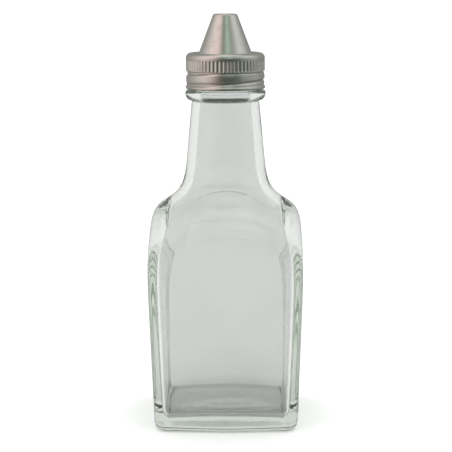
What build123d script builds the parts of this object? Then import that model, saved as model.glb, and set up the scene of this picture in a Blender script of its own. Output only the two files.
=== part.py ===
from build123d import *
import os
from math import radians, tan

os.makedirs("parts", exist_ok=True)

# A square, tapered glass oil bottle with a round threaded neck, closed by a two-piece
# metal top: a knurled screw ring that traps the flange of a conical pouring spout on a
# sealing washer. Millimetres; z = 0 is the table and z runs up the bottle's axis.

# ---- Driving dimensions: glass -----------------------------------------------------------
belt_width = 58.0           # across the flats at the widest level
belt_height = 61.5
base_width = 53.9           # across the flats at the table, before the heel is rounded
upper_taper = 2.1           # degrees that the flats lean in above the belt
corner_radius = 4.6         # vertical corners of the square body
heel_radius = 3.4
push_up = 1.2               # depth of the hollow under the base
push_up_radius = 19.0

shoulder_level = 87.06      # where the neck's line meets the shoulder crown
shoulder_radius = 32.7      # crown of the shoulder, in section
shoulder_reach = 39.8       # the crown's section runs out past the body's corners
shoulder_drop = 66.89       # level of the crown at that reach
shoulder_blend = 13.0       # concave curve between neck and shoulder
arch_blend = 4.2            # rounding where the crown meets each flat
neck_top_radius = 12.85     # just below the support bead
neck_taper = 5.25           # degrees, half angle
bead_radius = 15.3
bead_bottom = 123.6
bead_top = 127.3
bead_lower_rounding = 2.1
bead_upper_rounding = 0.9

base_thickness = 5.2
wall_at_base = 4.2
wall_at_belt = 3.6
wall_at_shoulder = 3.6
cavity_corner = 3.0         # vertical corners inside
cavity_heel = 3.0           # floor corners inside
bore_radius = 9.5           # mouth and neck
bore_straight_end = 122.0   # the bore widens below this level
bore_foot_radius = 12.7

# ---- Driving dimensions: threaded finish --------------------------------------------------
rim_height = 138.4
rim_rounding = 0.8
finish_radius = 12.6        # thread root
thread_pitch = 4.233        # six turns to the inch
thread_turns = 1.25
thread_start = 130.75       # axial centre of the thread's lower end
thread_start_angle = 180    # degrees round the axis, shared with the ring's rolled thread
thread_height = 1.1         # crest above the root
thread_root_width = 2.4
thread_crest_width = 1.1
thread_sink = 0.4           # how far swept profiles overlap the wall they join

# ---- Driving dimensions: metal top ---------------------------------------------------------
cap_radius = 15.0
cap_top = 141.6
cap_bottom = 127.8
cap_wall = 0.45
cap_shoulder = 2.2          # rounded top edge
skirt_radius = 14.9         # plain skirt below the knurled band
knurl_bottom = 134.6
knurl_top = 139.2
knurl_count = 60
knurl_depth = 0.3
knurl_cutter_radius = 0.62
cap_inner_radius = 14.3
spout_hole_radius = 10.45   # opening in the ring's top
curl_radius = 0.7           # rolled lower edge
curl_ring_radius = 14.45    # centre of the roll
lip_dip = 0.9               # the ring's top falls away towards the cone
lip_crest_radius = 12.5     # where it starts to fall
rolled_bead_height = 1.3    # inward crest of the rolled thread
rolled_bead_width = 0.95
rolled_groove_depth = 0.5
rolled_groove_width = 1.7
rolled_turns = 1.25
rolled_root_width = 1.5
rolled_sink = 0.3
ring_bead_start = 129.2     # just under the glass thread

total_height = 156.0
tip_radius = 4.6
tip_hole_radius = 1.6
cone_foot_radius = 10.1
cone_foot_height = 141.1
spout_wall = 0.5
tip_thickness = 0.8
tip_rounding = 0.9
flange_radius = 13.3
flange_thickness = 0.5
seat_gap = 0.05             # running gap between stacked pieces
washer_thickness = 1.2
washer_radius = 13.2
washer_bore_radius = 9.6

# Levels of the stack between the glass rim and the ring's top
washer_bottom = rim_height + seat_gap
washer_top = washer_bottom + washer_thickness
flange_bottom = washer_top
flange_top = flange_bottom + flange_thickness


def flat_width(level):
    """Width across the flats at a height."""
    if level <= belt_height:
        return base_width + (belt_width - base_width) * level / belt_height
    return belt_width - 2 * (level - belt_height) * tan(radians(upper_taper))


def cavity_width(level):
    """Width of the square cavity at a height."""
    share = min(level / belt_height, 1)
    wall = wall_at_base + (wall_at_belt - wall_at_base) * share
    return flat_width(level) - 2 * wall


def thread_path(radius, start, turns):
    """Right-hand helix about the bottle's axis."""
    helix = Helix(thread_pitch, thread_pitch * turns, radius, center=(0, 0, start), mode=Mode.PRIVATE)
    return helix.rotate(Axis.Z, thread_start_angle)


# Outward direction where every thread begins
outward = Vector(1, 0, 0).rotate(Axis.Z, thread_start_angle)

# ---- Inside of the bottle: square room, domed shoulder and round bore -----------------------
with BuildPart() as bottle_cavity:
    for level in (base_thickness, belt_height, rim_height):
        with BuildSketch(Plane.XY.offset(level)):
            RectangleRounded(cavity_width(level), cavity_width(level), cavity_corner)
    loft(ruled=True)
    fillet(bottle_cavity.faces().sort_by(Axis.Z)[0].edges(), cavity_heel)
    with BuildSketch(Plane.XZ):
        with BuildLine():
            inner_crown = RadiusArc(
                (bore_foot_radius, shoulder_level - wall_at_shoulder),
                (shoulder_reach, shoulder_drop - wall_at_shoulder),
                shoulder_radius,
            )
            Polyline(
                inner_crown @ 1,
                (shoulder_reach, 0),
                (0, 0),
                (0, rim_height),
                (bore_radius, rim_height),
                (bore_radius, bore_straight_end),
                inner_crown @ 0,
            )
        make_face()
    revolve(axis=Axis.Z, mode=Mode.INTERSECT)
    inner_neck_edge = bottle_cavity.edges().filter_by(GeomType.CIRCLE).filter_by(
        lambda edge: abs(edge.radius - bore_foot_radius) < 0.01
    )
    fillet(inner_neck_edge, shoulder_blend / 2)

# ---- Glass bottle -----------------------------------------------------------------------------
neck_foot_radius = neck_top_radius + (bead_bottom - shoulder_level) * tan(radians(neck_taper))

with BuildPart() as glass_bottle:
    # Square body: leans out to the belt and in again above it
    for level in (0, belt_height, rim_height):
        with BuildSketch(Plane.XY.offset(level)):
            RectangleRounded(flat_width(level), flat_width(level), corner_radius)
    loft(ruled=True)
    fillet(glass_bottle.faces().sort_by(Axis.Z)[0].edges(), heel_radius)
    # The turned outline of neck and shoulder crown trims the square body
    with BuildSketch(Plane.XZ):
        with BuildLine():
            crown = RadiusArc(
                (neck_foot_radius, shoulder_level),
                (shoulder_reach, shoulder_drop),
                shoulder_radius,
            )
            Polyline(
                crown @ 1,
                (shoulder_reach, 0),
                (0, 0),
                (0, rim_height),
                (finish_radius, rim_height),
                (finish_radius, bead_top),
                (bead_radius, bead_top),
                (bead_radius, bead_bottom),
                (neck_top_radius, bead_bottom),
                crown @ 0,
            )
        make_face()
    revolve(axis=Axis.Z, mode=Mode.INTERSECT)
    neck_edge = glass_bottle.edges().filter_by(GeomType.CIRCLE).filter_by(
        lambda edge: abs(edge.radius - neck_foot_radius) < 0.01
    )
    fillet(neck_edge, shoulder_blend)
    lower_bead_edge = glass_bottle.edges().filter_by(GeomType.CIRCLE).filter_by(
        lambda edge: abs(edge.radius - bead_radius) < 0.01 and edge.center().Z < bead_bottom + 0.01
    )
    fillet(lower_bead_edge, bead_lower_rounding)
    upper_bead_edge = glass_bottle.edges().filter_by(GeomType.CIRCLE).filter_by(
        lambda edge: abs(edge.radius - bead_radius) < 0.01 and edge.center().Z > bead_top - 0.01
    )
    fillet(upper_bead_edge, bead_upper_rounding)
    crown_face = glass_bottle.faces().filter_by(GeomType.REVOLUTION).sort_by(SortBy.AREA)[-1]
    arch_edges = crown_face.edges().filter_by(
        lambda edge: edge.geom_type != GeomType.CIRCLE and not edge.is_closed
    )
    fillet(arch_edges, arch_blend)
    add(bottle_cavity.part, mode=Mode.SUBTRACT)
    rim_edges = glass_bottle.faces().sort_by(Axis.Z)[-1].edges()
    fillet(rim_edges, rim_rounding)
    # Shallow hollow under the base leaves a flat ring to stand on
    with BuildSketch(Plane.XZ):
        with BuildLine():
            ThreePointArc((0, push_up), (push_up_radius / 2, push_up * 3 / 4), (push_up_radius, 0))
            Polyline((push_up_radius, 0), (0, 0), (0, push_up))
        make_face()
    revolve(axis=Axis.Z, mode=Mode.SUBTRACT)
    # Right-hand thread, standing on the finish
    path = thread_path(finish_radius, thread_start, thread_turns)
    with BuildSketch(Plane(origin=path @ 0, x_dir=outward, z_dir=path % 0)):
        with BuildLine():
            Polyline(
                (-thread_sink, -thread_root_width / 2),
                (0, -thread_root_width / 2),
                (thread_height, -thread_crest_width / 2),
                (thread_height, thread_crest_width / 2),
                (0, thread_root_width / 2),
                (-thread_sink, thread_root_width / 2),
                close=True,
            )
        make_face()
    sweep(path=path, is_frenet=True)
glass_bottle.part.label = "glass_bottle"
export_step(glass_bottle.part, "parts/glass_bottle.step")

# ---- Screw ring: lipped top, knurled band, rolled thread and curled lower edge -----------------
ring_inner_top = cap_top - cap_wall
with BuildPart() as screw_ring:
    with BuildSketch(Plane.XZ):
        with BuildLine():
            Polyline(
                (spout_hole_radius, ring_inner_top - lip_dip),
                (spout_hole_radius, cap_top - lip_dip),
                (lip_crest_radius, cap_top),
                (cap_radius, cap_top),
                (cap_radius, knurl_bottom),
                (skirt_radius, knurl_bottom),
                (skirt_radius, cap_bottom + curl_radius),
                (cap_inner_radius, cap_bottom + curl_radius),
                (cap_inner_radius, ring_inner_top),
                (lip_crest_radius, ring_inner_top),
                close=True,
            )
        make_face()
    revolve(axis=Axis.Z)
    top_edge = screw_ring.edges().filter_by(GeomType.CIRCLE).filter_by(
        lambda edge: edge.center().Z > cap_top - 0.01 and edge.radius > cap_radius - 0.01
    )
    fillet(top_edge, cap_shoulder)
    # The lower edge is rolled outwards into a bead
    with BuildSketch(Plane.XZ):
        with Locations((curl_ring_radius, cap_bottom + curl_radius)):
            Circle(curl_radius)
    revolve(axis=Axis.Z)
    # Knurling: upright flutes round the band
    with BuildSketch(Plane.XY.offset(knurl_bottom)):
        with PolarLocations(cap_radius + knurl_cutter_radius - knurl_depth, knurl_count):
            Circle(knurl_cutter_radius)
    extrude(amount=knurl_top - knurl_bottom, mode=Mode.SUBTRACT)
    # Rolled thread: a bead inside and the matching groove outside
    inner_path = thread_path(cap_inner_radius, ring_bead_start, rolled_turns)
    with BuildSketch(Plane(origin=inner_path @ 0, x_dir=outward, z_dir=inner_path % 0)):
        with BuildLine():
            Polyline(
                (rolled_sink, -rolled_root_width / 2),
                (0, -rolled_root_width / 2),
                (-rolled_bead_height, -rolled_bead_width / 2),
                (-rolled_bead_height, rolled_bead_width / 2),
                (0, rolled_root_width / 2),
                (rolled_sink, rolled_root_width / 2),
                close=True,
            )
        make_face()
    sweep(path=inner_path, is_frenet=True)
    outer_path = thread_path(skirt_radius, ring_bead_start, rolled_turns)
    with BuildSketch(Plane(origin=outer_path @ 0, x_dir=outward, z_dir=outer_path % 0)):
        Ellipse(rolled_groove_depth, rolled_groove_width / 2)
    sweep(path=outer_path, is_frenet=True, mode=Mode.SUBTRACT)

screw_ring.part.label = "screw_ring"
export_step(screw_ring.part, "parts/screw_ring.step")

# ---- Cone spout: spun cone with a pouring hole in its tip and a flange at its foot --------------
cone_top_inside = total_height - tip_thickness
with BuildPart() as cone_spout:
    with BuildSketch(Plane.XZ):
        with BuildLine():
            Polyline(
                (flange_radius, flange_bottom),
                (flange_radius, flange_top),
                (cone_foot_radius, flange_top),
                (cone_foot_radius, cone_foot_height),
                (tip_radius, total_height),
                (tip_hole_radius, total_height),
                (tip_hole_radius, cone_top_inside),
                (tip_radius - spout_wall, cone_top_inside),
                (cone_foot_radius - spout_wall, cone_foot_height),
                (cone_foot_radius - spout_wall, flange_bottom),
                close=True,
            )
        make_face()
    revolve(axis=Axis.Z)
    tip_edge = cone_spout.edges().filter_by(GeomType.CIRCLE).filter_by(
        lambda edge: abs(edge.radius - tip_radius) < 0.01
    )
    fillet(tip_edge, tip_rounding)

cone_spout.part.label = "cone_spout"
export_step(cone_spout.part, "parts/cone_spout.step")

# ---- Sealing washer between the flange and the glass rim ------------------------------------------
with BuildPart() as sealing_washer:
    with BuildSketch(Plane.XY.offset(washer_bottom)):
        Circle(washer_radius)
        Circle(washer_bore_radius, mode=Mode.SUBTRACT)
    extrude(amount=washer_thickness)

sealing_washer.part.label = "sealing_washer"
export_step(sealing_washer.part, "parts/sealing_washer.step")
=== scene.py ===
import math

import bpy
import numpy as np
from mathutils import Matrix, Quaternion, Vector


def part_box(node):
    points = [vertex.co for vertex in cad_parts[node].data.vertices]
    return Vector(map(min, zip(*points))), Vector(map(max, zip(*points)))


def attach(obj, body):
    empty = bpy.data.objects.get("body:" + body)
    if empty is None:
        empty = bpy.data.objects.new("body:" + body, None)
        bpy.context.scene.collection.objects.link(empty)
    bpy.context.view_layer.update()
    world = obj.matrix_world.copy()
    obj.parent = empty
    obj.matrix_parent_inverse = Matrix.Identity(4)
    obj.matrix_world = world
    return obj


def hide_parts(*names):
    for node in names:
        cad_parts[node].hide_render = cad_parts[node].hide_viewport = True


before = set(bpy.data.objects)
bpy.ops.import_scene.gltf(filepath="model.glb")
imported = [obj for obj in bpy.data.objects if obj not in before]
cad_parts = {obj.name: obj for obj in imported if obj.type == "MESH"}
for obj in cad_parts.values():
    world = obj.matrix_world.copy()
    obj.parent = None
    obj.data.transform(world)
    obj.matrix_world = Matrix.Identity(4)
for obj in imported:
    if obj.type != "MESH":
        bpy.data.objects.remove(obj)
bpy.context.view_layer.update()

# A square glass oil bottle with a knurled screw ring, a conical pouring spout and a washer.
# Shapes are worked out in millimetres in the frame's own axes and scaled to metres.
MM = 0.001


def node_box(node):
    """A CAD node's lowest and highest corners, in millimetres."""
    low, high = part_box(node)
    return np.array(low) / MM, np.array(high) / MM


# ---- Levels and sizes taken from the frame --------------------------------------------------
bottle_high = node_box("glass_bottle")[1]
ring_low, ring_high = node_box("screw_ring")
spout_low, spout_high = node_box("cone_spout")
washer_low, washer_high = node_box("sealing_washer")

BELT_HALF = bottle_high[0]
RIM_LEVEL = bottle_high[2]

# ---- Glass: outside --------------------------------------------------------------------------
BELT_LEVEL = 61.5
BELT_SOFTNESS = 9.0         # the flats turn gently at the belt
BASE_HALF = 26.65
UPPER_LEAN = math.tan(math.radians(2.1))
CORNER = 4.6
HEEL = 3.4
CROWN_RING = 9.3            # centre circle of the domed shoulder's section
CROWN_LEVEL = 55.1
CROWN_RADIUS = 32.7
ARCH_BLEND = 3.6            # rounding where the dome meets each flat
NECK_SWEEP = 15.0           # concave sweep from neck to shoulder
NECK_TOP_RADIUS = 12.85
NECK_SLOPE = math.tan(math.radians(5.25))
NECK_SPLIT = 104.0          # rows above this level are turned, rows below are blended
BEAD_RADIUS = 15.3
BEAD_BOTTOM = 123.6
BEAD_TOP = 127.3
BEAD_UPPER = 0.9            # the bead is tight above and full below
FINISH_RADIUS = 12.6
MOUTH_RADIUS = 9.5
LIP_ROUNDING = 0.9
PUSH_UP = 0.3
PUSH_UP_RADIUS = 20.0
PUSH_UP_ROUNDING = 0.8

# ---- Glass: inside ---------------------------------------------------------------------------
WALL_LOW = 3.8
WALL_BELT = 3.2
WALL_TOP = 3.0
WALL_TOP_LEVEL = 78.0
WALL_CROWN = 3.4
INNER_CORNER = 2.0
INNER_ARCH = 6.5
INNER_SWEEP = 18.0
FLOOR_LEVEL = 3.0
FLOOR_CROWN = 4.4           # the floor swells up in the middle, over the push-up
FLOOR_SWELL_REACH = 30.0
INNER_HEEL = 4.0
BORE_STRAIGHT = 124.0
BORE_SOFTNESS = 6.0
BORE_SLOPE = math.tan(math.radians(5.0))

# ---- Thread ------------------------------------------------------------------------------------
PITCH = 4.233
THREAD_START = 130.75
THREAD_ANGLE = math.pi      # every thread starts on the left
THREAD_TURNS = 1.25
THREAD_HEIGHT = 1.1
THREAD_HALF_ROOT = 1.2
THREAD_HALF_CREST = 0.5


def smooth_step(value, low, high):
    t = np.clip((value - low) / (high - low), 0, 1)
    return t * t * (3 - 2 * t)


def soft_ramp(value, width):
    """Rises like the positive part of value, but turns over a distance of about width."""
    return 0.5 * (value + np.hypot(value, width))


def rounded_cut(a, b, radius):
    """Distance to what two solids share, with the edge between them rounded."""
    corner = np.hypot(np.maximum(a + radius, 0), np.maximum(b + radius, 0))
    return np.minimum(-radius, np.maximum(a, b)) + corner


def swept_join(a, b, reach):
    """Distance to two solids joined by a long concave sweep."""
    share = np.maximum(reach - np.abs(a - b), 0) / reach
    return np.minimum(a, b) - share ** 3 * reach / 6


def rounded_square(x, y, half, corner):
    """Distance to a square with rounded corners, in plan."""
    qx = np.abs(x) - (half - corner)
    qy = np.abs(y) - (half - corner)
    outside = np.hypot(np.maximum(qx, 0), np.maximum(qy, 0))
    return outside + np.minimum(np.maximum(qx, qy), 0) - corner


def flat_half(z):
    """Half the width across the flats: out to the belt, then in again."""
    lower_lean = (BELT_HALF - BASE_HALF) / BELT_LEVEL
    knee = (lower_lean + UPPER_LEAN) * soft_ramp(z - BELT_LEVEL, BELT_SOFTNESS)
    return BASE_HALF + lower_lean * z - knee + 0.5 * BELT_SOFTNESS * (lower_lean + UPPER_LEAN)


def wall(z):
    low = WALL_LOW + (WALL_BELT - WALL_LOW) * np.clip(z / BELT_LEVEL, 0, 1)
    return low + (WALL_TOP - WALL_BELT) * smooth_step(z, BELT_LEVEL, WALL_TOP_LEVEL)


def room_half(z):
    return flat_half(z) - wall(z)


def neck_radius(z):
    return NECK_TOP_RADIUS + (BEAD_BOTTOM - z) * NECK_SLOPE


def bore_radius(z):
    return MOUTH_RADIUS + soft_ramp(BORE_STRAIGHT - z, BORE_SOFTNESS) * BORE_SLOPE


def crown_distance(r, z, radius):
    return np.hypot(np.maximum(r - CROWN_RING, 0), np.maximum(z - CROWN_LEVEL, 0)) - radius


def outside_glass(x, y, z):
    """Distance from the outside skin of the body, shoulder and lower neck."""
    r = np.hypot(x, y)
    body = rounded_square(x, y, flat_half(z), CORNER)
    blend = 0.05 + ARCH_BLEND * smooth_step(z, 42.0, 70.0)
    body = rounded_cut(body, crown_distance(r, z, CROWN_RADIUS), blend)
    body = swept_join(body, r - neck_radius(z), NECK_SWEEP)
    body = rounded_cut(body, -z, HEEL)
    punt_sphere = (PUSH_UP_RADIUS ** 2 + PUSH_UP ** 2) / (2 * PUSH_UP)
    punt = punt_sphere - np.sqrt(x * x + y * y + (z - PUSH_UP + punt_sphere) ** 2)
    return rounded_cut(body, punt, PUSH_UP_ROUNDING)


def inside_glass(x, y, z):
    """Distance from the inside skin, positive in the glass."""
    r = np.hypot(x, y)
    room = rounded_square(x, y, flat_half(z) - wall(z), INNER_CORNER)
    room = rounded_cut(room, crown_distance(r, z, CROWN_RADIUS - WALL_CROWN), INNER_ARCH)
    room = swept_join(room, r - bore_radius(z), INNER_SWEEP)
    floor = FLOOR_LEVEL + FLOOR_CROWN * np.exp(-(r / FLOOR_SWELL_REACH) ** 2)
    return rounded_cut(room, floor - z, INNER_HEEL)


def settle(distance, x, y, z):
    """Moves points along the gradient until they lie on the skin."""
    h = 0.01
    for _ in range(14):
        f = distance(x, y, z)
        gx = (distance(x + h, y, z) - distance(x - h, y, z)) / (2 * h)
        gy = (distance(x, y + h, z) - distance(x, y - h, z)) / (2 * h)
        gz = (distance(x, y, z + h) - distance(x, y, z - h)) / (2 * h)
        step = 0.9 * f / np.maximum(gx * gx + gy * gy + gz * gz, 0.2)
        x, y, z = x - gx * step, y - gy * step, z - gz * step
    return x, y, z


def polar_square(angle, half, corner):
    """Distance from the axis to a rounded square, along each angle."""
    c, s = np.abs(np.cos(angle)), np.abs(np.sin(angle))
    big, small = np.maximum(c, s), np.minimum(c, s)
    flat = half / big
    inset = half - corner
    along = inset * (big + small)
    arc = along + np.sqrt(np.maximum(along ** 2 - 2 * inset ** 2 + corner ** 2, 0))
    return np.where(small * flat <= inset, flat, arc)


def spaced(count, bias=0.0):
    """Fractions from 0 up to, but not including, 1; bias crowds them to both ends."""
    t = np.arange(count) / count
    return t * (1 - bias) + bias * (0.5 - 0.5 * np.cos(math.pi * t))


def skin_rows(angles, half_of, corner, crown, throat_of, low, high, distance, counts):
    """Rows of points from the neck down over shoulder, flats and heel to the axis."""
    neck_n, crown_n, upper_n, lower_n, floor_n = counts
    rows = []
    throat_end = CROWN_LEVEL + crown
    for t in spaced(neck_n):
        z = high + (throat_end - high) * t
        rows.append((np.full_like(angles, throat_of(z)), np.full_like(angles, z)))
    start_r = throat_of(throat_end)
    wall_r = np.minimum(polar_square(angles, half_of(75.0), corner), CROWN_RING + crown * 0.985)
    swing_0 = math.asin((start_r - CROWN_RING) / crown)
    swing_1 = np.arcsin((wall_r - CROWN_RING) / crown)
    for t in spaced(crown_n, 0.3):
        swing = swing_0 + (swing_1 - swing_0) * t
        rows.append((CROWN_RING + crown * np.sin(swing), CROWN_LEVEL + crown * np.cos(swing)))
    arch_z = CROWN_LEVEL + crown * np.cos(swing_1)
    split = 46.0
    for t in spaced(upper_n, 0.3):
        z = arch_z + (split - arch_z) * t
        rows.append((polar_square(angles, half_of(z), corner), z))
    for t in spaced(lower_n, 0.75):
        z = split + (low - split) * t
        rows.append((polar_square(angles, half_of(z), corner), np.full_like(angles, z)))
    foot_r = polar_square(angles, half_of(low), corner)
    for t in spaced(floor_n, 0.6):
        rows.append((foot_r * (1 - t), np.full_like(angles, low)))
    r = np.array([row[0] for row in rows])
    z = np.array([row[1] for row in rows])
    x, y, z = settle(distance, r * np.cos(angles), r * np.sin(angles), z)
    return np.stack([x, y, z], axis=-1)


def turned_rows(angles, section, relief=None):
    """Rows of points from a turned section of (radius, height), with an optional relief."""
    r = np.repeat(section[:, 0:1], len(angles), axis=1)
    z = np.repeat(section[:, 1:2], len(angles), axis=1)
    if relief is not None:
        r = r + relief(angles[None, :], z)
    return np.stack([r * np.cos(angles), r * np.sin(angles), z], axis=-1)


def arc_points(centre, radius, start, end, count):
    """Points on an arc in the section plane; angles in degrees from outward, upwards."""
    swing = np.radians(np.linspace(start, end, count))
    return np.stack([centre[0] + radius * np.cos(swing), centre[1] + radius * np.sin(swing)], axis=-1)


def line_points(start, end, count):
    """Points on a straight stretch, leaving out its end."""
    t = np.arange(count)[:, None] / count
    return np.array(start, float) * (1 - t) + np.array(end, float) * t


def helix_ridge(angle, z, start, turns, half_root, half_crest, fade=0.07):
    """Height from 0 to 1 of a right-hand ridge that runs up round the axis."""
    ridge = np.zeros(np.broadcast(angle, z).shape)
    lap = ((angle - THREAD_ANGLE) / (2 * math.pi)) % 1.0
    for n in range(-1, int(turns) + 2):
        along = lap + n
        gap = np.abs(z - (start + PITCH * along))
        shape = 1 - smooth_step(gap, half_crest, half_root)
        ends = smooth_step(along, 0.0, fade) * (1 - smooth_step(along, turns - fade, turns))
        ridge = np.maximum(ridge, shape * ends)
    return ridge


def sheet_mesh(name, rows, loop=False, cap_start=False, cap_end=False):
    """A closed mesh from rows of points round the axis, in millimetres."""
    count, around = rows.shape[:2]
    verts = [tuple(p * MM) for p in rows.reshape(-1, 3)]
    faces = []
    last = count if loop else count - 1
    for i in range(last):
        a, b = i * around, ((i + 1) % count) * around
        for j in range(around):
            k = (j + 1) % around
            faces.append((a + j, a + k, b + k, b + j))
    for wanted, row, flip in ((cap_start, 0, True), (cap_end, count - 1, False)):
        if wanted:
            middle = rows[row].mean(axis=0)
            verts.append(tuple(middle * MM))
            hub = len(verts) - 1
            base = row * around
            for j in range(around):
                k = (j + 1) % around
                tri = (base + k, base + j, hub) if flip else (base + j, base + k, hub)
                faces.append(tri)
    mesh = bpy.data.meshes.new(name)
    mesh.from_pydata(verts, [], faces)
    mesh.validate()
    mesh.shade_smooth()
    piece = bpy.data.objects.new(name, mesh)
    bpy.context.scene.collection.objects.link(piece)
    return piece


def thread_relief(section):
    """Relief of the thread, on the outside of the finish only."""
    on_finish = (section[:, 0] > FINISH_RADIUS - 0.01) & (section[:, 1] > BEAD_TOP + 0.9)

    def relief(angle, z):
        ridge = helix_ridge(angle, z, THREAD_START, THREAD_TURNS, THREAD_HALF_ROOT, THREAD_HALF_CREST)
        return THREAD_HEIGHT * ridge * on_finish[:, None]

    return relief


def finish_section():
    """Turned section from the neck up over bead, finish and lip, and down the bore."""
    bead_level = BEAD_TOP - BEAD_UPPER
    belly = np.radians(np.linspace(-82, 0, 15))
    belly_r = NECK_TOP_RADIUS + 0.2 + (BEAD_RADIUS - NECK_TOP_RADIUS - 0.2) * np.cos(belly) ** 0.8
    belly_z = bead_level + (bead_level - BEAD_BOTTOM) * np.sin(belly)
    lip_level = RIM_LEVEL - LIP_ROUNDING
    bore_levels = np.linspace(lip_level - 0.3, NECK_SPLIT + 1, 40)
    return np.concatenate([
        line_points((neck_radius(NECK_SPLIT), NECK_SPLIT), (NECK_TOP_RADIUS, BEAD_BOTTOM - 0.6), 26)[1:],
        arc_points((NECK_TOP_RADIUS + 0.5, BEAD_BOTTOM - 0.5), 0.5, 180, 110, 5),
        np.stack([belly_r, belly_z], axis=-1),
        arc_points((BEAD_RADIUS - BEAD_UPPER, bead_level), BEAD_UPPER, 0, 85, 9)[1:],
        arc_points((FINISH_RADIUS + 0.5, BEAD_TOP + 0.5), 0.5, 265, 180, 4),
        line_points((FINISH_RADIUS, BEAD_TOP + 1.0), (FINISH_RADIUS, lip_level), 46),
        arc_points((FINISH_RADIUS - LIP_ROUNDING, lip_level), LIP_ROUNDING, 0, 90, 7),
        arc_points((MOUTH_RADIUS + LIP_ROUNDING, lip_level), LIP_ROUNDING, 90, 180, 7),
        np.stack([bore_radius(bore_levels), bore_levels], axis=-1),
    ])


def make_bottle():
    """Outside skin from the axis under the base up to the lip, then the inside down to the floor."""
    angles = 2 * math.pi * np.arange(288) / 288
    outer = skin_rows(
        angles, flat_half, CORNER, CROWN_RADIUS, neck_radius, 0.0, NECK_SPLIT,
        outside_glass, (12, 30, 26, 46, 26),
    )
    inner = skin_rows(
        angles, room_half, INNER_CORNER, CROWN_RADIUS - WALL_CROWN, bore_radius, FLOOR_LEVEL,
        NECK_SPLIT, inside_glass, (12, 26, 24, 42, 24),
    )
    section = finish_section()
    turned = turned_rows(angles, section, thread_relief(section))
    rows = np.concatenate([outer[::-1], turned, inner])
    return sheet_mesh("glass_bottle_body", rows, cap_start=True, cap_end=True)


# ---- Screw ring: pressed sheet, so the inside follows the outside ------------------------------
SHEET = 0.45
RING_RADIUS = 15.0
RING_SHOULDER = 1.9
RING_CREST = 0.15           # how far the spun top stands below the nominal height
LIP_DIP = 1.1               # the top falls away towards the cone
LIP_CREST = 13.1
KNURL_LOW = 134.6
KNURL_HIGH = 139.2
FLUTES = 60
FLUTE_DEPTH = 0.26
SKIRT_RADIUS = 14.95
SKIRT_MIDDLE = 131.9        # the skirt is fullest here
SKIRT_HALF = 2.4
SKIRT_SWELL = 0.30
SKIRT_NECK = 0.25
SPOUT_OPENING = 10.45
CURL = 0.7
CURL_RING = 14.45
ROLLED_START = 129.2
ROLLED_DEPTH = 0.5


def ring_relief(section):
    """Flutes on the band and the rolled thread in the skirt."""
    def relief(angle, z):
        wave = 0.5 + 0.5 * np.cos(FLUTES * angle)
        foot = smooth_step(z, KNURL_LOW, KNURL_LOW + 0.5)
        band = foot * (1 - smooth_step(z, KNURL_HIGH - 0.7, KNURL_HIGH))
        flutes = FLUTE_DEPTH * (1 - wave ** 0.6) * band
        groove = ROLLED_DEPTH * helix_ridge(angle, z, ROLLED_START, 1.25, 0.9, 0.05, fade=0.1)
        upright = (section[:, 0] > RING_RADIUS - 1.2)[:, None]
        return -(flutes + groove) * upright
    return relief


def skirt_radius(z):
    """The skirt swells a little between a neck under the knurling and the lower groove."""
    swell = SKIRT_SWELL * ((z - SKIRT_MIDDLE) / SKIRT_HALF) ** 2
    return SKIRT_RADIUS - swell - SKIRT_NECK * (1 - smooth_step(KNURL_LOW - z, 0.1, 0.75))


def make_ring():
    """The screw ring as one closed sheet: outside down to the curl, then the inside back up."""
    angles = 2 * math.pi * np.arange(FLUTES * 10) / (FLUTES * 10)
    top, bottom = ring_high[2] - RING_CREST, ring_low[2]
    shoulder = (RING_RADIUS - RING_SHOULDER, top - RING_SHOULDER)
    curl_centre = (CURL_RING, bottom + CURL)
    inner_radius = RING_RADIUS - SHEET - 0.3
    lip = (SPOUT_OPENING + SHEET / 2, top - LIP_DIP - SHEET / 2)
    slope = np.linspace(SPOUT_OPENING + 0.5, LIP_CREST - 0.1, 9)
    fall = LIP_DIP * (1 - smooth_step(slope, SPOUT_OPENING - 0.3, LIP_CREST))
    skirt = np.linspace(KNURL_LOW - 0.1, bottom + 2 * CURL + 0.6, 40)
    skirt_foot = (skirt_radius(skirt[-1]), bottom + 2 * CURL + 0.5)
    section = np.concatenate([
        arc_points(lip, SHEET / 2, 180, 90, 5),
        np.stack([slope, top - fall], axis=-1),
        arc_points(shoulder, RING_SHOULDER, 90, 0, 18),
        line_points((RING_RADIUS, shoulder[1]), (RING_RADIUS, KNURL_LOW + 0.2), 22)[1:],
        arc_points((RING_RADIUS - 0.15, KNURL_LOW + 0.2), 0.15, 0, -60, 3),
        np.stack([skirt_radius(skirt), skirt], axis=-1),
        line_points(skirt_foot, (CURL_RING + 0.3, bottom + 2 * CURL - 0.02), 4),
        arc_points(curl_centre, CURL, 50, -190, 24),
        line_points((curl_centre[0] - CURL, curl_centre[1] + 0.4), (inner_radius, curl_centre[1] + 1.0), 3),
        line_points((inner_radius, curl_centre[1] + 1.0), (inner_radius, top - 2.0), 40),
        arc_points((inner_radius - 1.5, top - SHEET - 1.5), 1.5, 0, 90, 7),
        np.stack([slope[::-1], top - SHEET - fall[::-1]], axis=-1),
        arc_points(lip, SHEET / 2, 250, 190, 3),
    ])
    rows = turned_rows(angles, section, ring_relief(section))
    return sheet_mesh("knurled_screw_ring", rows, loop=True)


# ---- Cone spout ---------------------------------------------------------------------------------
TIP_RADIUS = 4.5
TIP_HOLE = 1.6
TIP_ROUNDING = 0.9
FOOT_RADIUS = 10.15
FOOT_LEVEL = 141.1
FLANGE_RADIUS = 13.3
SPOUT_SHEET = 0.5


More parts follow.
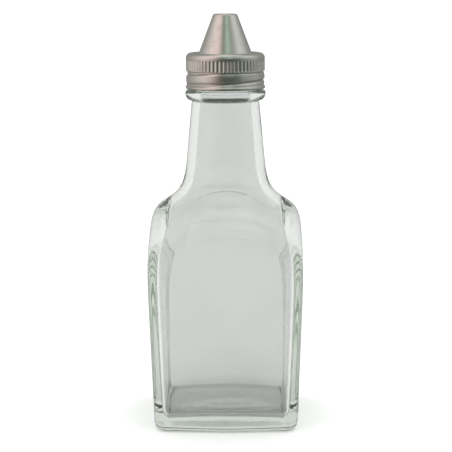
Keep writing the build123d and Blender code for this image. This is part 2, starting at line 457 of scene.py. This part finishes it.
def make_spout():
    """The spun cone, with its flange and the hole in its tip."""
    angles = 2 * math.pi * np.arange(192) / 192
    top, bottom = spout_high[2], spout_low[2]
    side = math.atan2(FOOT_RADIUS - TIP_RADIUS, top - FOOT_LEVEL)
    side_deg = math.degrees(side)
    tip_centre = (TIP_RADIUS - TIP_ROUNDING * math.tan((math.pi / 2 - side) / 2), top - TIP_ROUNDING)
    tip_arc = arc_points(tip_centre, TIP_ROUNDING, 90, side_deg, 9)
    foot = (FOOT_RADIUS, FOOT_LEVEL)
    inner_foot = (FOOT_RADIUS - SPOUT_SHEET, FOOT_LEVEL)
    flange_top = bottom + SPOUT_SHEET
    section = np.concatenate([
        line_points((TIP_HOLE, top - 0.9), (TIP_HOLE, top - 0.2), 3),
        arc_points((TIP_HOLE + 0.2, top - 0.2), 0.2, 180, 90, 4),
        tip_arc,
        line_points(tuple(tip_arc[-1]), foot, 24)[1:],
        line_points(foot, (FOOT_RADIUS + 0.05, flange_top + 0.4), 4),
        arc_points((FOOT_RADIUS + 0.4, flange_top + 0.35), 0.35, 180, 270, 5),
        line_points((FOOT_RADIUS + 0.6, flange_top), (FLANGE_RADIUS - 0.25, flange_top), 5),
        arc_points((FLANGE_RADIUS - 0.25, bottom + 0.25), 0.25, 90, -90, 7),
        line_points((FLANGE_RADIUS - 0.4, bottom), (FOOT_RADIUS - SPOUT_SHEET + 0.2, bottom), 5),
        line_points((FOOT_RADIUS - SPOUT_SHEET, bottom + 0.2), inner_foot, 5),
        line_points(inner_foot, (TIP_RADIUS - SPOUT_SHEET - 0.1, top - 1.2), 22),
        arc_points((TIP_RADIUS - SPOUT_SHEET - 0.5, top - 1.2), 0.3, 0, 90, 4),
    ])
    rows = turned_rows(angles, section)
    return sheet_mesh("pouring_cone", rows, loop=True)


def make_washer():
    """The washer, its edges softened and its rim squeezed out a little by the flange."""
    angles = 2 * math.pi * np.arange(128) / 128
    top, bottom = washer_high[2], washer_low[2]
    outer, bore = washer_high[0] - 0.05, 9.6
    half = (top - bottom) / 2
    middle = bottom + half
    section = np.concatenate([
        arc_points((outer - half, middle), half, 90, -90, 11),
        line_points((outer - half - 0.2, bottom), (bore + 0.3, bottom), 6),
        arc_points((bore + 0.3, bottom + 0.3), 0.3, 270, 180, 4),
        arc_points((bore + 0.3, top - 0.3), 0.3, 180, 90, 4),
        line_points((bore + 0.5, top), (outer - half - 0.1, top), 6),
    ])
    return sheet_mesh("soft_washer", turned_rows(angles, section), loop=True)


# ---- Shader building ------------------------------------------------------------------------------
def new_group(name, inputs, outputs):
    """An empty shader node group with named sockets; returns its tree, way in and way out."""
    tree = bpy.data.node_groups.new(name, "ShaderNodeTree")
    for label, kind, value in inputs:
        socket = tree.interface.new_socket(label, in_out="INPUT", socket_type=kind)
        socket.default_value = value
    for label, kind in outputs:
        tree.interface.new_socket(label, in_out="OUTPUT", socket_type=kind)
    return tree, tree.nodes.new("NodeGroupInput"), tree.nodes.new("NodeGroupOutput")


def math_node(tree, operation, a, b=None):
    """One Math node; a and b are sockets or numbers."""
    node = tree.nodes.new("ShaderNodeMath")
    node.operation = operation
    for slot, value in ((0, a), (1, b)):
        if value is None:
            continue
        if isinstance(value, (int, float)):
            node.inputs[slot].default_value = value
        else:
            tree.links.new(value, node.inputs[slot])
    return node.outputs[0]


def noise_node(tree, vector, scale, detail=3.0, roughness=0.5):
    node = tree.nodes.new("ShaderNodeTexNoise")
    node.inputs["Scale"].default_value = scale
    node.inputs["Detail"].default_value = detail
    node.inputs["Roughness"].default_value = roughness
    tree.links.new(vector, node.inputs["Vector"])
    return node.outputs["Fac"]


def range_node(tree, value, low, high, new_low, new_high):
    node = tree.nodes.new("ShaderNodeMapRange")
    tree.links.new(value, node.inputs["Value"])
    for label, number in (("From Min", low), ("From Max", high), ("To Min", new_low), ("To Max", new_high)):
        if isinstance(number, (int, float)):
            node.inputs[label].default_value = number
        else:
            tree.links.new(number, node.inputs[label])
    return node.outputs["Result"]


def mix_colour(tree, share, a, b):
    node = tree.nodes.new("ShaderNodeMix")
    node.data_type = "RGBA"
    for label, value in (("Factor", share), ("A", a), ("B", b)):
        socket = [s for s in node.inputs if s.name == label and s.enabled][0]
        if isinstance(value, (int, float)):
            socket.default_value = value
        elif isinstance(value, tuple):
            socket.default_value = value
        else:
            tree.links.new(value, socket)
    return [s for s in node.outputs if s.enabled][0]


def spun_grain_group():
    """Fine rings left by spinning and polishing, broken up round the axis."""
    tree, way_in, way_out = new_group(
        "spun grain",
        [("Ring Scale", "NodeSocketFloat", 9000.0), ("Break Up", "NodeSocketFloat", 60.0)],
        [("Rings", "NodeSocketFloat"), ("Haze", "NodeSocketFloat")],
    )
    place = tree.nodes.new("ShaderNodeTexCoord")
    split = tree.nodes.new("ShaderNodeSeparateXYZ")
    tree.links.new(place.outputs["Object"], split.inputs[0])
    radius = math_node(tree, "SQRT", math_node(
        tree, "ADD",
        math_node(tree, "MULTIPLY", split.outputs["X"], split.outputs["X"]),
        math_node(tree, "MULTIPLY", split.outputs["Y"], split.outputs["Y"]),
    ))
    stretched = tree.nodes.new("ShaderNodeCombineXYZ")
    for slot, label in ((0, "X"), (1, "Y")):
        across = math_node(tree, "MULTIPLY", split.outputs[label], way_in.outputs["Break Up"])
        tree.links.new(across, stretched.inputs[slot])
    along = math_node(tree, "SUBTRACT", split.outputs["Z"], math_node(tree, "MULTIPLY", radius, 0.9))
    tree.links.new(math_node(tree, "MULTIPLY", along, way_in.outputs["Ring Scale"]), stretched.inputs[2])
    tree.links.new(noise_node(tree, stretched.outputs[0], 1.0, 4.0, 0.6), way_out.inputs["Rings"])
    tree.links.new(noise_node(tree, place.outputs["Object"], 140.0, 4.0, 0.55), way_out.inputs["Haze"])
    return tree


def handling_group():
    """Soft smears and specks that handling leaves on glass and metal."""
    tree, way_in, way_out = new_group(
        "handling marks",
        [("Smear Scale", "NodeSocketFloat", 60.0), ("Speck Scale", "NodeSocketFloat", 900.0)],
        [("Smears", "NodeSocketFloat"), ("Specks", "NodeSocketFloat")],
    )
    place = tree.nodes.new("ShaderNodeTexCoord")
    marks = (("Smears", "Smear Scale", 0.5, 0.75), ("Specks", "Speck Scale", 0.66, 0.8))
    for label, scale_name, low, high in marks:
        noise = tree.nodes.new("ShaderNodeTexNoise")
        noise.inputs["Detail"].default_value = 4.0
        tree.links.new(place.outputs["Object"], noise.inputs["Vector"])
        tree.links.new(way_in.outputs[scale_name], noise.inputs["Scale"])
        tree.links.new(range_node(tree, noise.outputs["Fac"], low, high, 0.0, 1.0), way_out.inputs[label])
    return tree


def place_group(tree, group, **values):
    node = tree.nodes.new("ShaderNodeGroup")
    node.node_tree = group
    for label, value in values.items():
        node.inputs[label.replace("_", " ")].default_value = value
    return node


def new_material(name):
    material = bpy.data.materials.new(name)
    material.use_nodes = True
    tree = material.node_tree
    return material, tree, tree.nodes["Principled BSDF"]


def bump_into(tree, shader, height, strength, distance):
    bump = tree.nodes.new("ShaderNodeBump")
    bump.inputs["Strength"].default_value = strength
    bump.inputs["Distance"].default_value = distance
    tree.links.new(height, bump.inputs["Height"])
    tree.links.new(bump.outputs["Normal"], shader.inputs["Normal"])


def satin_metal(name, bright, dull, grain, handling, roughness):
    """Spun, satin-finished steel: ringed grain, a little haze and darker handling marks."""
    material, tree, shader = new_material(name)
    shader.inputs["Metallic"].default_value = 1.0
    shader.inputs["Anisotropic"].default_value = 0.3
    rings = place_group(tree, grain, Ring_Scale=7000.0, Break_Up=90.0)
    marks = place_group(tree, handling, Smear_Scale=220.0, Speck_Scale=2500.0)
    tint = mix_colour(tree, rings.outputs["Rings"], dull, bright)
    soil = tuple(0.6 * c for c in dull[:3]) + (1,)
    soiled = mix_colour(tree, math_node(tree, "MULTIPLY", marks.outputs["Smears"], 0.25), tint, soil)
    tree.links.new(soiled, shader.inputs["Base Color"])
    uneven = range_node(tree, rings.outputs["Haze"], 0.3, 0.7, roughness - 0.02, roughness + 0.03)
    tree.links.new(
        math_node(tree, "ADD", uneven, math_node(tree, "MULTIPLY", marks.outputs["Smears"], 0.08)),
        shader.inputs["Roughness"],
    )
    bump_into(tree, shader, rings.outputs["Rings"], 0.10, 0.00002)
    return material


GLASS_TINT = (0.745, 0.75, 0.745, 1)
SMEAR_TINT = (0.72, 0.73, 0.72, 1)
GLASS_ROUGHNESS = 0.035
SMEAR_ROUGHNESS = 0.06
DEPTH_TINT = (0.76, 0.80, 0.75, 1)
DEPTH_DENSITY = 28.0
# Above 1, as it stands in for the light that the bottle gathers on to the floor under it
GATHERED_LIGHT = (1.06, 1.065, 1.06, 1)


def bottle_glass(handling):
    """Clear soda glass: faint green-grey in its depth, slightly uneven skin, light smears."""
    material, tree, shader = new_material("clear bottle glass")
    shader.inputs["Transmission Weight"].default_value = 1.0
    shader.inputs["Metallic"].default_value = 0.0
    shader.inputs["IOR"].default_value = 1.5
    place = tree.nodes.new("ShaderNodeTexCoord")
    marks = place_group(tree, handling, Smear_Scale=45.0, Speck_Scale=700.0)
    tint = mix_colour(tree, marks.outputs["Smears"], GLASS_TINT, SMEAR_TINT)
    tree.links.new(tint, shader.inputs["Base Color"])
    softness = range_node(tree, marks.outputs["Smears"], 0.0, 1.0, GLASS_ROUGHNESS, SMEAR_ROUGHNESS)
    tree.links.new(softness, shader.inputs["Roughness"])
    ripple = noise_node(tree, place.outputs["Object"], 55.0, 2.0, 0.4)
    bump_into(tree, shader, ripple, 0.22, 0.0006)
    depth = tree.nodes.new("ShaderNodeVolumeAbsorption")
    depth.inputs["Color"].default_value = DEPTH_TINT
    depth.inputs["Density"].default_value = DEPTH_DENSITY
    output = tree.nodes["Material Output"]
    tree.links.new(depth.outputs[0], output.inputs["Volume"])
    path = tree.nodes.new("ShaderNodeLightPath")
    clear = tree.nodes.new("ShaderNodeBsdfTransparent")
    clear.inputs["Color"].default_value = GATHERED_LIGHT
    through = tree.nodes.new("ShaderNodeMixShader")
    tree.links.new(path.outputs["Is Shadow Ray"], through.inputs["Fac"])
    tree.links.new(shader.outputs[0], through.inputs[1])
    tree.links.new(clear.outputs[0], through.inputs[2])
    tree.links.new(through.outputs[0], output.inputs["Surface"])
    return material


def washer_rubber(handling):
    """Matt off-white sealing compound, slightly mottled."""
    material, tree, shader = new_material("off-white sealing rubber")
    marks = place_group(tree, handling, Smear_Scale=300.0, Speck_Scale=3000.0)
    tint = mix_colour(tree, marks.outputs["Smears"], (0.74, 0.72, 0.66, 1), (0.62, 0.60, 0.54, 1))
    tree.links.new(tint, shader.inputs["Base Color"])
    softness = range_node(tree, marks.outputs["Specks"], 0.0, 1.0, 0.62, 0.75)
    tree.links.new(softness, shader.inputs["Roughness"])
    bump_into(tree, shader, marks.outputs["Specks"], 0.2, 0.00005)
    return material


# ---- Studio ------------------------------------------------------------------------------------------
FLOOR_REACH = 30000.0


def make_floor():
    """A plain pale floor that runs on past the view all round."""
    angles = 2 * math.pi * np.arange(96) / 96
    radii = np.array([5.0, 100.0, 1000.0, 6000.0, FLOOR_REACH])
    section = np.stack([radii, np.zeros(len(radii))], axis=-1)
    floor = sheet_mesh("studio_floor", turned_rows(angles, section)[:, ::-1], cap_start=True)
    material, tree, shader = new_material("pale studio floor")
    place = tree.nodes.new("ShaderNodeTexCoord")
    fibres = noise_node(tree, place.outputs["Object"], 6.0, 3.0)
    tint = mix_colour(tree, fibres, (0.94, 0.945, 0.94, 1), (0.95, 0.955, 0.95, 1))
    tree.links.new(tint, shader.inputs["Base Color"])
    shader.inputs["Roughness"].default_value = 1.0
    shader.inputs["Specular IOR Level"].default_value = 0.0
    floor.data.materials.append(material)
    floor.visible_glossy = False


def make_lamp(name, azimuth, elevation, distance, width, height, power, colour):
    """A soft box that looks at the bottle; azimuth 0 is in front of it and 90 to its right."""
    turn, rise = math.radians(azimuth), math.radians(elevation)
    aim = Vector((0, 0, 0.09))
    place = aim + distance * Vector((
        math.sin(turn) * math.cos(rise), -math.cos(turn) * math.cos(rise), math.sin(rise)
    ))
    lamp = bpy.data.lights.new(name, "AREA")
    lamp.shape = "RECTANGLE"
    lamp.size, lamp.size_y = width, height
    lamp.energy = power
    lamp.color = colour
    holder = bpy.data.objects.new(name, lamp)
    holder.location = place
    holder.rotation_euler = (aim - place).to_track_quat("-Z", "Y").to_euler()
    holder.visible_glossy = False
    holder.visible_transmission = False
    bpy.context.scene.collection.objects.link(holder)


# What polished surfaces mirror, as (bearing in degrees, colour): 0 is in front, positive to the right
LOW_SURROUND = (
    (-180, (0.28, 0.28, 0.27)), (-128, (0.40, 0.40, 0.38)), (-97, (0.60, 0.56, 0.54)),
    (-74, (0.80, 0.73, 0.71)), (-54, (0.76, 0.68, 0.65)), (-36, (0.56, 0.50, 0.47)),
    (-25, (0.30, 0.27, 0.25)), (-12, (0.13, 0.13, 0.11)), (0, (0.085, 0.10, 0.08)),
    (24, (0.085, 0.115, 0.09)), (38, (0.12, 0.15, 0.125)), (54, (0.26, 0.30, 0.27)),
    (74, (0.37, 0.40, 0.37)), (97, (0.41, 0.43, 0.40)), (128, (0.28, 0.31, 0.29)),
    (180, (0.28, 0.28, 0.27)),
)
HIGH_SURROUND = (
    (-180, (0.28, 0.28, 0.27)), (-128, (0.36, 0.36, 0.34)), (-97, (0.68, 0.66, 0.62)),
    (-74, (0.92, 0.81, 0.77)), (-54, (0.97, 0.79, 0.75)), (-38, (0.90, 0.75, 0.71)),
    (-25, (0.62, 0.56, 0.52)), (-13, (0.24, 0.26, 0.21)), (-2, (0.28, 0.35, 0.29)),
    (8, (0.46, 0.60, 0.50)), (22, (0.44, 0.56, 0.48)), (35, (0.28, 0.33, 0.29)),
    (54, (0.48, 0.52, 0.48)), (74, (0.72, 0.74, 0.71)), (97, (0.64, 0.66, 0.62)),
    (128, (0.40, 0.42, 0.40)), (180, (0.28, 0.28, 0.27)),
)
OVERHEAD = (0.86, 0.87, 0.83, 1)
UNDERFOOT = (0.12, 0.13, 0.115, 1)
SKY = (1.24, 1.25, 1.24, 1)


def surround_ramp(tree, bearing, stops):
    ramp = tree.nodes.new("ShaderNodeValToRGB")
    tree.links.new(bearing, ramp.inputs["Fac"])
    elements = ramp.color_ramp.elements
    while len(elements) < len(stops):
        elements.new(0.5)
    for element, (degrees, colour) in zip(elements, stops):
        element.position = (degrees + 180) / 360
        element.color = (*colour, 1)
    return ramp.outputs["Color"]


def make_sky():
    """An even pale sky lights everything; mirrored rays meet soft boxes and a dim room instead."""
    world = bpy.data.worlds.new("studio sky")
    bpy.context.scene.world = world
    world.use_nodes = True
    tree = world.node_tree
    place = tree.nodes.new("ShaderNodeTexCoord")
    way = tree.nodes.new("ShaderNodeSeparateXYZ")
    tree.links.new(place.outputs["Generated"], way.inputs[0])
    forward = math_node(tree, "MULTIPLY", way.outputs["Y"], -1.0)
    bearing = math_node(tree, "ARCTAN2", way.outputs["X"], forward)
    share = range_node(tree, bearing, -math.pi, math.pi, 0.0, 1.0)
    low = surround_ramp(tree, share, LOW_SURROUND)
    high = surround_ramp(tree, share, HIGH_SURROUND)
    rising = range_node(tree, way.outputs["Z"], 0.15, 0.45, 0.0, 1.0)
    room = mix_colour(tree, rising, low, high)
    above = range_node(tree, way.outputs["Z"], 0.88, 0.97, 0.0, 1.0)
    room = mix_colour(tree, above, room, OVERHEAD)
    below = range_node(tree, way.outputs["Z"], -0.10, -0.55, 0.0, 0.7)
    room = mix_colour(tree, below, room, UNDERFOOT)
    path = tree.nodes.new("ShaderNodeLightPath")
    mirrored = math_node(
        tree, "MULTIPLY", path.outputs["Is Glossy Ray"],
        math_node(tree, "SUBTRACT", 1.0, path.outputs["Is Transmission Ray"]),
    )
    colour = mix_colour(tree, mirrored, SKY, room)
    tree.links.new(colour, tree.nodes["Background"].inputs["Color"])


def make_camera():
    """A long lens a little above the bottle, turned slightly to its right."""
    turn, roll = math.radians(0.8), math.radians(0.24)
    reach, height = 0.550, 0.1697
    camera_data = bpy.data.cameras.new("camera")
    camera_data.sensor_width = 36.0
    camera_data.lens = 114.9
    camera = bpy.data.objects.new("camera", camera_data)
    camera.location = (reach * math.sin(turn), -reach * math.cos(turn), height)
    aim = Vector((0.0, 0.0, 0.0747))
    level = (aim - camera.location).to_track_quat("-Z", "Y")
    camera.rotation_euler = (level @ Quaternion((0, 0, 1), -roll)).to_euler()
    bpy.context.scene.collection.objects.link(camera)
    bpy.context.scene.camera = camera


# ---- Assembly --------------------------------------------------------------------------------------
def place_piece(piece, material, body, node):
    piece.data.materials.append(material)
    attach(piece, body)
    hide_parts(node)


make_camera()
make_sky()
make_floor()
make_lamp("key_box", -60, 50, 1.2, 0.9, 0.9, 1.5, (1.0, 0.98, 0.96))

grain = spun_grain_group()
handling = handling_group()
ring_metal = satin_metal(
    "satin ring steel", (0.80, 0.77, 0.74, 1), (0.62, 0.60, 0.57, 1), grain, handling, 0.21
)
spout_metal = satin_metal(
    "satin spout steel", (0.82, 0.80, 0.77, 1), (0.66, 0.64, 0.61, 1), grain, handling, 0.18
)
place_piece(make_bottle(), bottle_glass(handling), "bottle", "glass_bottle")
place_piece(make_ring(), ring_metal, "cap", "screw_ring")
place_piece(make_spout(), spout_metal, "spout", "cone_spout")
place_piece(make_washer(), washer_rubber(handling), "spout", "sealing_washer")

bpy.context.scene.view_settings.view_transform = "Standard"
# Light is reflected many times inside the thick glass, and fewer bounces leave black lines
GLASS_BOUNCES = 24
bpy.context.scene.cycles.max_bounces = GLASS_BOUNCES
bpy.context.scene.cycles.glossy_bounces = GLASS_BOUNCES
bpy.context.scene.cycles.transmission_bounces = GLASS_BOUNCES
